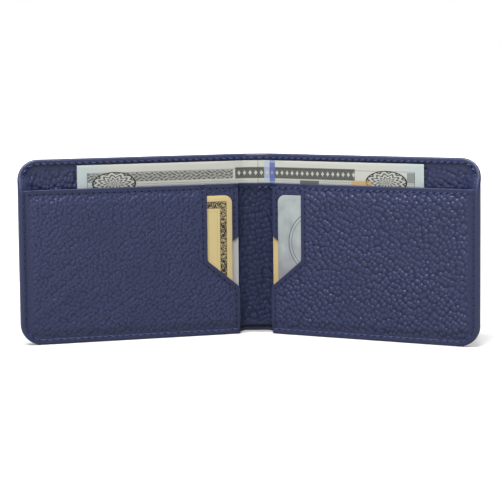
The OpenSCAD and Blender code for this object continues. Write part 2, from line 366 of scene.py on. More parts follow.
def inward_of(boundary):
    """Unit vectors into a closed boundary, at its points."""
    tangent = np.roll(boundary, -1, axis=0) - np.roll(boundary, 1, axis=0)
    tangent /= np.linalg.norm(tangent, axis=1)[:, None]
    return np.column_stack([-tangent[:, 1], tangent[:, 0]])


def fill(boundary, outline, spacing, insets=(), detail=None, coarse=3.0):
    """Triangles inside a closed boundary, which follows the outline but has more points. The
    boundary's points come first and keep their order. detail says where the points are as close
    as spacing; elsewhere they are coarse."""
    closed = np.vstack([outline, outline[:1]])
    groups = [boundary]
    for inset in insets:
        ring = boundary + inset * inward_of(boundary)
        keep = inside(ring, outline) & (chain_distance(ring, closed) > 0.97 * inset)
        groups.append(ring[keep])
    low, high = boundary.min(0), boundary.max(0)
    grid = hexagons(low, high, spacing)
    if detail is not None:
        grid = grid[detail(grid[:, 0], grid[:, 1])]
        wide = hexagons(low, high, coarse)
        wide = wide[~detail(wide[:, 0], wide[:, 1])]
        grid = np.vstack([grid, wide])
    grid = grid[inside(grid, outline)]
    margin = (insets[-1] if insets else 0) + 0.3
    groups.append(grid[chain_distance(grid, closed) > margin])
    vectors = [Vector((float(x), float(z))) for x, z in np.vstack(groups)]
    made = delaunay_2d_cdt(vectors, [], [list(range(len(boundary)))], 1, 1e-7)
    flat = np.array([tuple(point) for point in made[0]])
    order = [source[0] if source else -1 for source in made[3][:len(boundary)]]
    if order != list(range(len(boundary))):
        raise RuntimeError("the triangulation moved its boundary")
    return flat, np.array([tuple(face) for face in made[2]])


# ---- meshes ----

def add_object(name, data):
    made = bpy.data.objects.new(name, data)
    bpy.context.scene.collection.objects.link(made)
    return made


def declare(piece, slot, *nodes, body=None):
    """Hides the CAD nodes that a piece replaces, and hangs the piece on the body it rides on, if
    one is given. slot, its material slot, is not used.
    """
    if body:
        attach(piece, body)
    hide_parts(*nodes)
    return piece


def new_object(name, points, triangles, uv, materials, attributes=None, indices=None):
    """A smooth mesh object from points in millimetres. uv is in millimetres too."""
    mesh = bpy.data.meshes.new(name)
    triangles = np.asarray(triangles, np.int32)
    mesh.vertices.add(len(points))
    mesh.vertices.foreach_set("co", (np.asarray(points) * MM).astype(np.float32).ravel())
    mesh.loops.add(triangles.size)
    mesh.loops.foreach_set("vertex_index", triangles.ravel())
    mesh.polygons.add(len(triangles))
    mesh.polygons.foreach_set("loop_start", np.arange(0, triangles.size, 3, dtype=np.int32))
    mesh.update(calc_edges=True)
    layer = mesh.uv_layers.new(name="flat")
    layer.data.foreach_set("uv", (np.asarray(uv) / 100)[triangles.ravel()].astype(np.float32).ravel())
    for key, values in (attributes or {}).items():
        store = mesh.attributes.new(key, "FLOAT", "POINT")
        store.data.foreach_set("value", np.asarray(values, np.float32))
    for material in materials:
        mesh.materials.append(material)
    if indices is not None:
        mesh.polygons.foreach_set("material_index", np.asarray(indices, np.int32))
    mesh.polygons.foreach_set("use_smooth", np.ones(len(triangles), bool))
    mesh.validate()
    return add_object(name, mesh)


def changes_fast(u, z):
    """Where the levels change fast: at the fold and beside the rim."""
    return (rim_inset(u, z) < RIM_ZONE) | (u < FOLD_ZONE)


def facing(triangles, side, front):
    """Triangles turned so that they face the leaf's front or its back."""
    return triangles if (side == RIGHT) == front else triangles[:, ::-1]


def round_edge(edge, radius):
    """How far a face falls back beside its edge, for a rounded edge."""
    t = 1 - np.clip(edge / radius, 0, 1)
    return radius * (1 - np.sqrt(np.maximum(1 - t * t, 0)))


def slab(name, side, outline, level, thickness, material, grain, fade, seams=(), detail=None,
         cut=None):
    """A leather panel with rounded edges. level gives its front face, fade the grain's share,
    seams are chains of points with a groove, and detail says where the grain is fine. cut is the
    u of an edge at which the other half of the same leather goes on."""
    outline = np.array(outline, float)
    boundary = chain(list(outline) + [outline[0]], EDGE_STEP)[:-1]
    count = len(boundary)
    sides = list(zip(outline, np.roll(outline, -1, axis=0)))
    if cut is not None:
        sides = [(p, q) for p, q in sides if not p[0] == q[0] == cut]
    thick = thickness if callable(thickness) else (lambda u, z: thickness + 0 * u)

    def edge_distance(points):
        return np.min([chain_distance(points, edge) for edge in sides], axis=0)

    flat, triangles = fill(boundary, outline, FINE, (0.1, 0.24, 0.45), detail)
    back, back_triangles = fill(boundary, outline, PLAIN, (0.3,), changes_fast)
    edge, back_edge = edge_distance(flat), edge_distance(back)
    u, z = flat[:, 0], flat[:, 1]
    spread = spread_out(side, u, z)
    height = grain.at(*spread.T)
    amount = fade(u, z) * climb(edge, 0.5, 0.6)
    groove = sum((np.exp(-(chain_distance(flat, seam) / 0.38) ** 2) for seam in seams), 0 * u)
    front = level(u, z) + round_edge(edge, thick(u, z) / 2) + GROOVE * groove
    front = front - grain.height * (height - grain.crown) * amount * (1 - 0.7 * groove)
    back_thick = thick(back[:, 0], back[:, 1])
    back_level = level(back[:, 0], back[:, 1]) + back_thick - round_edge(back_edge, back_thick / 2)
    if cut is None:
        back, back_level = back[count:], back_level[count:]
        moved = back_triangles + len(flat) - count
        back_triangles = np.where(back_triangles < count, back_triangles, moved)
    else:
        back_triangles = back_triangles + len(flat)
    points = np.vstack([place(side, u, front, z), place(side, back[:, 0], back_level, back[:, 1])])
    faces = np.vstack([facing(triangles, side, True), facing(back_triangles, side, False)])
    uv = np.vstack([spread, spread_out(side, *back.T)])
    rest = np.zeros(len(back))
    # edge lays a painted highlight along the rounded edge, and seam painted shade in the grooves.
    attributes = {
        "grain": np.concatenate([mix(PLAIN_GRAIN, height, amount), rest + 0.7]),
        "edge": np.concatenate([np.clip(1 - edge / 0.5, 0, 1), rest]),
        "seam": np.concatenate([groove, rest]),
    }
    return new_object(name, points, faces, uv, [material], attributes)


def match_seam(one, other):
    """Gives the points that two halves share on the spine's middle one normal."""
    sums, found = {}, {}
    for piece in (one, other):
        places, normals = vertex_rows(piece.data), vertex_rows(piece.data, "normal")
        middle = np.nonzero(np.abs(places[:, 0]) < 1e-7)[0]
        found[piece.name] = [(i, tuple(np.round(places[i] * 1e7).astype(int))) for i in middle]
        for i, key in found[piece.name]:
            sums[key] = sums.get(key, 0) + normals[i]
    for piece in (one, other):
        normals = np.zeros((len(piece.data.vertices), 3))
        for i, key in found[piece.name]:
            total = np.array(sums[key], float)
            total[0] = 0
            normals[i] = total / max(np.linalg.norm(total), 1e-9)
        piece.data.normals_split_custom_set_from_vertices(normals.tolist())


# ---- materials ----

def operator(operation):
    """A method for Value that makes one Math node."""
    return lambda value, *others: value.math(operation, *others)


class Value:
    """A number in a shader: arithmetic on it makes the nodes."""

    def __init__(self, tree, socket):
        self.tree, self.socket = tree, socket

    def math(self, operation, *others, clamp=False):
        node = self.tree.nodes.new("ShaderNodeMath")
        node.operation = operation
        node.use_clamp = clamp
        self.tree.links.new(self.socket, node.inputs[0])
        for slot, other in enumerate(others, 1):
            if isinstance(other, Value):
                self.tree.links.new(other.socket, node.inputs[slot])
            else:
                node.inputs[slot].default_value = other
        return Value(self.tree, node.outputs[0])

    __add__, __sub__ = operator("ADD"), operator("SUBTRACT")
    __mul__, __truediv__ = operator("MULTIPLY"), operator("DIVIDE")
    sin, abs = operator("SINE"), operator("ABSOLUTE")

    def __neg__(self):
        return self * -1.0

    def ramp(self, low, high):
        """0 below low, 1 above high, smooth between; low may be the higher one."""
        t = ((self - low) / (high - low)).math("ADD", 0.0, clamp=True)
        return t * t * (-(t * 2.0) + 3.0)

    def within(self, low, high, soft=0.12):
        """1 between low and high, with soft borders."""
        return self.ramp(low - soft, low + soft) * self.ramp(high + soft, high - soft)


class Shader:
    """A material with one principled shader, and short ways to add to it."""

    def __init__(self, name, roughness=0.5, specular=0.5, coat=0.0):
        self.material = bpy.data.materials.new(name)
        self.material.use_nodes = True
        self.tree = self.material.node_tree
        self.body = self.tree.nodes["Principled BSDF"]
        self.body.inputs["Roughness"].default_value = roughness
        self.body.inputs["Specular IOR Level"].default_value = specular
        if coat:
            self.body.inputs["Coat Weight"].default_value = coat
            self.body.inputs["Coat Roughness"].default_value = 0.15

    def node(self, kind, inputs=(), **settings):
        """A new node, with constants for its inputs and values for its own settings."""
        made = self.tree.nodes.new(kind)
        for key, value in settings.items():
            setattr(made, key, value)
        for key, value in dict(inputs).items():
            made.inputs[key].default_value = value
        return made

    def link(self, output, target):
        self.tree.links.new(output, target)

    def value(self, socket):
        return Value(self.tree, socket)

    def attribute(self, name):
        return self.value(self.node("ShaderNodeAttribute", attribute_name=name).outputs["Fac"])

    def flat(self):
        """The leather's or print's flat coordinates in millimetres, as two values."""
        layer = self.node("ShaderNodeUVMap", uv_map="flat")
        parts = self.node("ShaderNodeSeparateXYZ")
        self.link(layer.outputs[0], parts.inputs[0])
        return self.value(parts.outputs[0]) * 100.0, self.value(parts.outputs[1]) * 100.0

    def noise(self, scale_x, scale_z, detail=2.0, roughness=0.5):
        """Noise with this many cells per millimetre across and along."""
        layer = self.node("ShaderNodeUVMap", uv_map="flat")
        mapping = self.node("ShaderNodeMapping", {"Scale": (100 * scale_x, 100 * scale_z, 1)})
        made = self.node("ShaderNodeTexNoise",
                         {"Scale": 1.0, "Detail": detail, "Roughness": roughness})
        self.link(layer.outputs[0], mapping.inputs[0])
        self.link(mapping.outputs[0], made.inputs["Vector"])
        return self.value(made.outputs["Fac"])

    def blend(self, share, one, other):
        """A colour mixed from two, which are RGB tuples or sockets."""
        made = self.node("ShaderNodeMix", data_type="RGBA")
        self.link(share.socket, made.inputs[0])
        for slot, colour in ((6, one), (7, other)):
            if isinstance(colour, tuple):
                made.inputs[slot].default_value = (*colour, 1)
            else:
                self.link(colour, made.inputs[slot])
        return made.outputs[2]

    def finish(self, colour=None, roughness=None, height=None, depth=0.0001, strength=1.0):
        if isinstance(colour, tuple):
            self.body.inputs["Base Color"].default_value = (*colour, 1)
        elif colour is not None:
            self.link(colour, self.body.inputs["Base Color"])
        if roughness is not None:
            self.link(roughness.socket, self.body.inputs["Roughness"])
        if height is not None:
            bump = self.node("ShaderNodeBump", {"Strength": strength, "Distance": depth})
            self.link(height.socket, bump.inputs["Height"])
            self.link(bump.outputs[0], self.body.inputs["Normal"])
        return self.material


def leather(name, crease, top, edge_colour, roughness=0.36, specular=0.5, ridges=False):
    """Pebbled dyed leather. Its colour runs from the pebbles' creases to their tops: painted shade
    in the creases and painted light on the tops, with some of the leather's own tone. Turned edges
    are burnished and take edge_colour, mostly a painted highlight with some edge wear. Seam grooves
    take painted shade.
    """
    shader = Shader(name, roughness, specular)
    grain, edge, seam = (shader.attribute(key) for key in ("grain", "edge", "seam"))
    blotch = shader.noise(0.07, 0.07, 3)
    fine = shader.noise(5.0, 5.0, 3, 0.6)
    # Colour from crease to top follows the grain's height: painted shade in the creases and painted
    # light on the tops, with random tone from the noises.
    share = (grain * 0.7 + (blotch - 0.5) * 0.16 + (fine - 0.5) * 0.16 + 0.2).ramp(0.0, 1.0)
    colour = shader.blend(share, crease, top)
    # Painted highlight along the turned edges, with some edge wear. The lining's edge colour is the
    # crease colour: there it is painted shade where the edge tucks under the rim.
    colour = shader.blend(edge * 0.8, colour, edge_colour)
    # Painted shade: darker in seam grooves, and at the spine's foot, where the cover's fold_shade
    # raises the seam share.
    colour = shader.blend(seam * 0.48, colour, tuple(0.7 * part for part in crease))
    gloss = (fine - 0.5) * 0.16 - share * 0.06 - edge * 0.06 + (roughness + 0.04)
    height = fine * 0.5 + shader.noise(14.0, 14.0, 1) * 0.3
    if ridges:
        height = height + shader.noise(0.35, 7.0, 2) * 1.3
    return shader.finish(colour, gloss, height, 0.00007, 0.8)


# Pebble colours: the crease colour holds painted shade, the top colour painted light, and the edge
# colour a painted highlight with some edge wear.
CREASE, TOP, EDGE_WEAR_AND_HIGHLIGHT = (0.012, 0.016, 0.050), (0.025, 0.033, 0.094), (0.028, 0.037, 0.100)
COVER_LEATHER = leather("cover_leather", CREASE, TOP, EDGE_WEAR_AND_HIGHLIGHT)
# A darker copy of the panel leather for the divider, which shows in the recessed spine and the top
# band: painted shade. Its lighter edge colour is a painted highlight.
SHADED_SPINE_LEATHER = leather("shaded_spine_leather", (0.006, 0.009, 0.030), (0.015, 0.020, 0.062),
                        (0.026, 0.034, 0.090), 0.45, 0.3)
PANEL_LEATHER = leather("panel_leather", (0.010, 0.013, 0.045), (0.028, 0.037, 0.103), EDGE_WEAR_AND_HIGHLIGHT, 0.40)
# The lining's edges, tucked under the rim, take the crease colour: painted shade.
LINING_LEATHER = leather("lining_leather", (0.011, 0.014, 0.044), (0.027, 0.035, 0.098), CREASE, 0.36)
RIM_LEATHER = leather("rim_leather", CREASE, (0.024, 0.031, 0.090), EDGE_WEAR_AND_HIGHLIGHT, 0.42, ridges=True)


def thread_material(name, colour, dark):
    shader = Shader(name, 0.55, 0.4)
    x, z = shader.flat()
    twist = ((x * 14.0 + z * 9.0).sin() * 0.5 + 0.5)
    fuzz = shader.noise(6.0, 6.0, 2)
    # Darker between the twists, where the bump is low: painted shade, with random tone from the fuzz.
    tint = shader.blend((twist * 0.6 + fuzz * 0.5).ramp(0.1, 0.9), dark, colour)
    return shader.finish(tint, fuzz * 0.2 + 0.42, twist + fuzz * 0.3, 0.00005, 0.7)


THREAD = thread_material("thread", (0.055, 0.088, 0.290), (0.020, 0.032, 0.115))
# A darker copy of the thread: painted shade on stitches that run up and down, sit in sunk seams or lie
# at the spine's foot.
SHADED_THREAD = thread_material("shaded_thread", (0.017, 0.028, 0.110), (0.007, 0.011, 0.036))
# Near-black shapes at the needle holes: painted shade inside the holes.
HOLE_SHADE = Shader("needle_hole_shade", 0.9, 0.1)
HOLE_SHADE = HOLE_SHADE.finish((0.004, 0.005, 0.012), None, HOLE_SHADE.noise(6.0, 6.0), 0.00005)


def board_material():
    shader = Shader("stiffening_board", 0.85, 0.2)
    place_of = shader.node("ShaderNodeTexCoord")
    fibre = shader.node("ShaderNodeTexNoise", {"Scale": 900.0, "Detail": 4.0})
    shader.link(place_of.outputs["Object"], fibre.inputs["Vector"])
    grain = shader.value(fibre.outputs["Fac"])
    colour = shader.blend(grain, (0.20, 0.16, 0.10), (0.32, 0.27, 0.19))
    return shader.finish(colour, grain * 0.1 + 0.78, grain, 0.00004, 0.6)


BOARD = board_material()


def card_material(name, base, second, ornament):
    """Printed laminate: a base colour, a slow gradient to a second one, and an ornament's mask
    with its colour, made from the place on the card."""
    shader = Shader(name, 0.3, 0.45, coat=0.25)
    x, z = shader.flat()
    slow = (shader.noise(0.05, 0.06, 4) * 1.1 + (z + x * 0.6) * 0.016 - 0.45).ramp(0.1, 0.9)
    colour = shader.blend(slow, base, second)
    for mask, ink in ornament(shader, x, z):
        colour = shader.blend(mask, colour, ink)
    specks = shader.noise(3.0, 3.0, 3)
    return shader.finish(colour, specks * 0.1 + 0.26, specks, 0.00002, 0.25)


CARD_W, CARD_H = 85.6, 54.0


def gold_ornament(_shader, x, z):
    """A border band of scrolls between a plain margin and a plain field."""
    ax, az = (x - CARD_W / 2).abs(), (z - CARD_H / 2).abs()
    reach = (-(ax - CARD_W / 2)).math("MINIMUM", -(az - CARD_H / 2))
    band = reach.within(2.5, 5.4, 0.1)
    along = (x * 2.1).sin() * (z * 2.1).sin()
    scroll = ((x + z) * 1.25 + along * 1.9).sin() * ((x - z) * 1.25 - along * 1.9).sin()
    motif = scroll.abs().ramp(0.14, 0.3)
    rules = reach.within(2.4, 2.65, 0.05) + reach.within(5.2, 5.45, 0.05)
    inner = reach.within(6.6, 6.75, 0.04)
    return [(band * (motif * 0.78 + 0.22), (0.010, 0.008, 0.005)), (rules * 0.8, (0.12, 0.08, 0.03)),
            (inner * 0.5, (0.30, 0.22, 0.09))]


def silver_ornament(shader, x, z):
    """A double ring with fine hatching, over slow clouds and a darker lower end."""
    across, up = x - 18.6, z - 34.2
    far = (across * across + up * up).math("SQRT")
    ring = far.within(13.2, 13.5, 0.08) + far.within(11.9, 12.1, 0.08)
    hatch = ((across * 5.0 + up * 3.0).sin()).ramp(0.1, 0.6) * far.ramp(11.8, 11.6) * 0.35
    rose = ((far * 2.4).sin() * 0.5 + 0.5) * far.ramp(7.0, 6.6) * 0.35
    clouds = shader.noise(0.13, 0.09, 4)
    return [
        (clouds.ramp(0.45, 0.75) * 0.7, (0.46, 0.50, 0.49)),
        (clouds.ramp(0.5, 0.3) * 0.6, (0.22, 0.21, 0.26)),
        (z.ramp(34.0, 12.0) * 0.75, (0.20, 0.18, 0.215)),
        (hatch, (0.22, 0.24, 0.25)),
        (rose, (0.18, 0.20, 0.22)),
        (ring * 0.95, (0.03, 0.034, 0.04)),
    ]


def plain_ornament(_shader, _x, z):
    """One dark stripe along the card."""
    return [(z.within(38.0, 46.0, 0.2) * 0.7, (0.05, 0.05, 0.055))]


GOLD_CARD = card_material("gold_card", (0.50, 0.385, 0.165), (0.57, 0.455, 0.21), gold_ornament)
SILVER_CARD = card_material("silver_card", (0.20, 0.19, 0.215), (0.34, 0.385, 0.38), silver_ornament)
GREY_CARD = card_material("grey_card", (0.38, 0.38, 0.38), (0.44, 0.44, 0.44), plain_ornament)


def note_material():
    """Banknote paper with generic ornament: frames, wave bands, rosettes, a woven stripe."""
    shader = Shader("banknote", 0.75, 0.25)
    x, z = shader.flat()
    paper = shader.blend(x.abs().ramp(60.0, 78.0), (0.50, 0.50, 0.45), (0.43, 0.49, 0.49))
    fibres = shader.noise(2.5, 5.0, 4)
    colour = shader.blend(fibres.ramp(0.35, 0.75) * 0.25, paper, (0.38, 0.42, 0.42))
    grey, dark, pale = (0.075, 0.080, 0.072), (0.020, 0.022, 0.020), (0.46, 0.46, 0.42)

    def box(x0, x1, z0, z1, soft_x=0.12, soft_z=0.12):
        return x.within(x0, x1, soft_x) * z.within(z0, z1, soft_z)

    def woven(a, b, c, d, e, f):
        """A net of two crossed and bent waves."""
        return ((x * a + (z * b).sin() * c).sin() * (z * d + (x * e).sin() * f).sin()).abs()

    weave = woven(3.6, 4.2, 1.2, 6.5, 2.3, 1.4).ramp(0.1, 0.45)
    waves = woven(1.5, 1.9, 1.5, 2.4, 0.9, 1.6).ramp(0.15, 0.6)
    fine = ((x * 1.1).sin() * 0.5 + z * 7.5).sin().ramp(0.2, 0.7)
    lozenge = ((x * 1.3).sin().abs() * 1.1 + (z - 68.8).abs() * 0.85).ramp(1.05, 0.8)
    bars = (z * 1.25).sin().ramp(-0.5, 0.1)
    level_lines = z.within(70.5, 70.7, 0.05) + z.within(11.0, 11.2, 0.05)
    frame_lines = (x.abs()).within(73.6, 73.9, 0.05) * z.within(11.0, 70.6)
    frame_lines = frame_lines + x.within(-73.8, 73.8) * level_lines
    cartouche = box(-9.0, 46.5, 66.4, 71.2, 0.2, 0.2)
    prints = [
        (box(-73.6, -10.0, 66.6, 70.4) * (waves * 0.5 + 0.42), grey),
        (box(-73.6, 74.0, 12.0, 66.2) * fine * 0.38, grey),
        (frame_lines * 0.7, grey),
        (cartouche * (weave * 0.3 + 0.66), dark),
        (cartouche * lozenge * z.within(67.3, 70.3), pale),
        (box(20.7, 29.7, 63.0, 65.9, 0.15, 0.15) * 0.75, dark),
    ]
    for centre_x in (-62.2, 61.0):
        across, up = (x - centre_x) / 9.0, (z - 66.0) / 4.6
        far = (across * across + up * up).math("SQRT")
        turn = across.math("ARCTAN2", up)
        loops = (far * 21.0 + (turn * 12.0).sin() * 2.1).sin().ramp(-0.1, 0.5)
        rosette = far.ramp(1.06, 1.0) * loops * 0.85 + far.within(0.98, 1.06, 0.02)
        prints += [(far.ramp(1.1, 1.02), pale), (rosette, dark)]
    crease = x.within(0.75, 1.1, 0.12)
    prints += [
        (box(70.4, 74.0, 66.0, 70.2, 0.1, 0.1) * 0.6, grey),
        (box(45.2, 54.4, 62.6, 66.4, 0.4, 0.3) * (fine * 0.3 + 0.55), (0.52, 0.30, 0.07)),
        (x.within(3.6, 6.0, 0.1) * 0.75, (0.36, 0.42, 0.50)),
        (x.within(6.0, 8.7, 0.1) * (bars * 0.35 + 0.6), (0.10, 0.13, 0.36)),
        (crease * 0.4, dark),
    ]
    for mask, ink in prints:
        colour = shader.blend(mask.math("ADD", 0.0, clamp=True), colour, ink)
    shade_and_wear = shader.noise(0.5, 0.5, 4)
    return shader.finish(colour, shade_and_wear * 0.15 + 0.68, shade_and_wear + fibres * 0.4 - crease * 0.8, 0.00012, 0.7)


NOTE_PAPER = note_material()

# ---- outlines of the panels ----

def rounded(points, radius):
    """A chain of points whose inner corners are rounded."""
    points = [np.array(p, float) for p in points]
    result = [tuple(points[0])]
    for before, corner, after in zip(points[:-2], points[1:-1], points[2:]):
        a, b = before - corner, after - corner
        cut = min(radius, 0.45 * np.linalg.norm(a), 0.45 * np.linalg.norm(b))
        start, end = corner + a / np.linalg.norm(a) * cut, corner + b / np.linalg.norm(b) * cut
        for t in np.linspace(0, 1, 6):
            result.append(tuple((1 - t) ** 2 * start + 2 * t * (1 - t) * corner + t * t * end))
    return result + [tuple(points[-1])]


def outer_corner(inset, upper, count=14):
    """Rounded outer corner of a panel, the lower one or the upper one, counter-clockwise."""
    centre, start = (HEIGHT - CORNER, 0) if upper else (CORNER, -90)
    return arc((LEAF - CORNER, centre), CORNER - inset, start, start + 90, count)


def pocket_outline(edge):
    """A pocket panel from its open edge, given from the top down, to the leaf's outer edge."""
    return outer_corner(TUCK, False) + [(LEAF - TUCK, DIVIDER_TOP)] + list(edge)


def front_edge(move=0.0):
    """The front pocket's open edge from the top down, moved into the panel."""
    slope = math.atan2(SLANT_HIGH - SLANT_LOW, FRONT_EDGE_U - POCKET_U)
    drop = move * (1 - math.sin(slope)) / math.cos(slope)
    return rounded([(FRONT_EDGE_U + move, DIVIDER_TOP - (SEAM if move else 0)),
                    (FRONT_EDGE_U + move, SLANT_HIGH - drop),
                    (POCKET_U + move, SLANT_LOW - drop),
                    (POCKET_U + move, SEAM if move else TUCK)], 1.1)


def rear_edge():
    return rounded([(POCKET_U, DIVIDER_TOP), (POCKET_U, NOTCH_HIGH),
                    (POCKET_U + NOTCH_DEPTH, NOTCH_HIGH - NOTCH_RISE),
                    (POCKET_U + NOTCH_DEPTH, NOTCH_LOW + NOTCH_RISE),
                    (POCKET_U, NOTCH_LOW), (POCKET_U, TUCK)], 1.0)


FRONT_EDGE, REAR_EDGE = front_edge(), rear_edge()
CARD_TRAVEL = 9.0           # of a front card towards the spine
CARD_LOW, CARD_HIGH = span("front_card_right", RIGHT)
FRONT_CARD = (CARD_LOW[0] - CARD_TRAVEL, CARD_HIGH[2])  # its inner edge when moved, and its top


def left_folds(u, z):
    """Shallow diagonal wrinkles towards the left leaf's lower outer corner."""
    a = (u * 0.55 + z * 0.8) / 6.5 + 0.9 * table_noise(u / 14, z / 14, 71)
    mask = climb(u, 45, 35) * climb(46, z, 30)
    return 0.07 * np.sin(2 * math.pi * a) * mask * climb(rim_inset(u, z), 4, 4)


# ---- leather pieces ----

def below_top_seam(z):
    return smooth((TOP_SEAM - 0.2 - z) / 0.6)


def panel_fade(edge, card=None):
    """Where a pocket panel shows its grain: not beside its open edge, top edge or outer rim, and
    not where a card lies on it."""
    def fade(u, z):
        share = smooth((LEAF - u - 2.8) / 3.6) * climb(z, 2.5, 0.9) * below_top_seam(z)
        if card is not None:
            over_card = 1 - smooth((z - card[1] - 0.1) / 0.7)
            share = share * (1 - smooth((u - card[0] + 0.8) / 0.7) * over_card)
        off_edge = chain_distance(np.column_stack([u, z]), edge)
        return share * smooth((off_edge - SEAM - 0.35) / 0.7)
    return fade


def fine_beside(u_end, z_start):
    """Where a partly hidden panel needs fine points: where it shows, and beside the rim."""
    return lambda u, z: (u < u_end) | (z > z_start) | (rim_inset(u, z) < RIM_ZONE)


def make_pockets(side):
    name = SIDES[side]
    grain = RIGHT_GRAIN if side == RIGHT else LEFT_GRAIN
    wrinkle = left_folds if side == LEFT else (lambda u, z: 0 * u)
    top_line = [(FRONT_EDGE_U, TOP_SEAM), (LEAF - RIM_W, TOP_SEAM)]
    front = slab(f"leather_front_pocket_{name}", side, pocket_outline(FRONT_EDGE),
                 lambda u, z: front_level(u, z) + wrinkle(u, z), PANEL_T, PANEL_LEATHER, grain,
                 panel_fade(FRONT_EDGE), (front_edge(SEAM), top_line),
                 detail=lambda u, z: rim_inset(u, z) > 1.9)
    rear_top = [(POCKET_U, TOP_SEAM), (FRONT_EDGE_U + 2, TOP_SEAM)]
    rear_side = [(POCKET_U + SEAM, TOP_SEAM), (POCKET_U + SEAM, NOTCH_HIGH)]
    rear = slab(f"leather_rear_pocket_{name}", side, pocket_outline(REAR_EDGE), rear_level, PANEL_T,
                PANEL_LEATHER, grain, panel_fade(REAR_EDGE, FRONT_CARD), (rear_side, rear_top),
                fine_beside(FRONT_EDGE_U + 3, TOP_SEAM - 5))
    for piece, node in ((front, "front_pocket"), (rear, "rear_pocket")):
        declare(piece, "panel_leather", f"{node}_{name}", body=name + "_leaf")


def make_divider(side):
    name = SIDES[side]
    low_edge = rounded([(FOLD, SPINE_NOTCH), (2.6, SPINE_NOTCH), (4.6, TUCK), (9.0, TUCK)], 1.2)
    outline = low_edge[:-1] + outer_corner(TUCK, False)
    outline += [(LEAF - TUCK, DIVIDER_TOP), (FOLD, DIVIDER_TOP)]
    seams = [[(FOLD, TOP_SEAM), (POCKET_U + 2, TOP_SEAM)]]

    def fade(u, z):
        hidden = smooth((u - POCKET_U + 0.9) / 0.7)
        return below_top_seam(z) * smooth((z - SPINE_NOTCH - 0.6) / 0.8) * (1 - hidden)

    piece = slab(f"leather_divider_{name}", side, outline, divider_level, divider_thickness,
                 SHADED_SPINE_LEATHER, SPINE_GRAIN, fade, seams,
                 fine_beside(POCKET_U + 1, TOP_SEAM - 3), FOLD)
    return declare(piece, "panel_leather", f"divider_{name}", "divider_spine")


def make_lining(side):
    name = SIDES[side]
    outline = [(FOLD, TUCK)] + outer_corner(TUCK, False) + outer_corner(TUCK, True)
    outline += [(FOLD, HEIGHT - TUCK)]

    def fade(u, z):
        return smooth((rim_inset(u, z) - RIM_W - 0.6) / 2.5)

    def detail(u, z):
        return (z > DIVIDER_TOP - 6) | (u < FOLD_ZONE)

    piece = slab(f"leather_lining_{name}", side, outline, lining_front, LINING_T,
                 LINING_LEATHER, LINING_GRAIN, fade, (), detail, FOLD)
    return declare(piece, "lining_leather", f"lining_{name}", "lining_spine")


def stations(spacing):
    """Points along the cover's edge from the spine's foot round to its top, with their inward
    directions and distances along the edge."""
    corners = outer_corner(0, False, 30) + outer_corner(0, True, 30)
    points = chain([(FOLD, 0.0)] + corners + [(FOLD, HEIGHT)], spacing)
    along = np.concatenate([[0], np.cumsum(np.linalg.norm(np.diff(points, axis=0), axis=1))])
    step = np.gradient(points, axis=0)
    step /= np.linalg.norm(step, axis=1)[:, None]
    inward = np.column_stack([-step[:, 1], step[:, 0]])
    inward[0], inward[-1] = (0, 1), (0, -1)
    return points, inward, along


def spine_lift(u, z):
    """The cover's lower edge rises a little where the spine is thin."""
    return 0.7 * (1 - climb(u, 0.4, 3.4)) * (1 - smooth(z / 6))


FACE_INSET = 2.6            # of the cover's two faces from its edge

# Rings of the turned edge on the inside and on the back, which draw its two grooves: inset from
# the edge, depth below the level, and share of the painted shade in a seam's groove.
INNER_RINGS = ((RIM_W + 0.05, 0.42, 1), (RIM_W + 0.03, 0.24, 0.8), (RIM_W - 0.1, 0.08, 0.3),
               (2.12, 0.02, 0.3), (2.0, 0.07, 0.9), (1.9, 0.1, 1), (1.8, 0.07, 0.9),
               (1.66, 0.0, 0.2), (1.45, -0.03, 0), (1.2, -0.02, 0))
OUTER_RINGS = ((1.4, 0.0, 0), (1.66, 0.0, 0.2), (1.8, 0.07, 0.9), (1.9, 0.1, 1), (2.0, 0.07, 0.9),
               (2.2, 0.0, 0.2))


def turned_edge(side, base, inward, along):
    """Rings of the cover's turned edge, from its raw edge inside round to the back. Each has its
    insets and levels along the edge, and its shares of the edge's painted highlight and of a
    seam's painted shade."""
    wobble = 0.05 * (table_noise(along / 7, 0 * along, 81 + side) - 0.5)
    front, back = rim_front(*base.T) + wobble, rim_back(*base.T) + wobble
    thick = back - front
    bend_front, bend_back = np.minimum(0.95, 0.46 * thick), np.minimum(0.85, 0.46 * thick)
    quarter = np.radians(np.linspace(0, 90, 7))
    rings = []

    def ring(inset, level, edge=0.0, seam=0.0):
        rings.append((inset + 0 * along, level + 0 * along, edge, seam))

    ring(1.25, back - 0.75)
    ring(1.25, front + 0.75)
    for inset, depth, seam in INNER_RINGS:
        ring(inset, front + depth, 0.15, seam)
    for angle in quarter:
        ring(bend_front * (1 - math.sin(angle)), front + bend_front * (1 - math.cos(angle)), 0.75)
    for share in (0.2, 0.4, 0.6, 0.8):
        uneven = 0.035 * math.sin(9.0 * share) + 0.02
        ring(uneven, mix(front + bend_front, back - bend_back, share), 0.35)
    for angle in quarter:
        ring(bend_back * (1 - math.cos(angle)), back - bend_back * (1 - math.sin(angle)), 0.75)
    for inset, depth, seam in OUTER_RINGS:
        ring(inset, cover_back(*(base + inset * inward).T) - depth + wobble, 0.1, seam)
    return rings


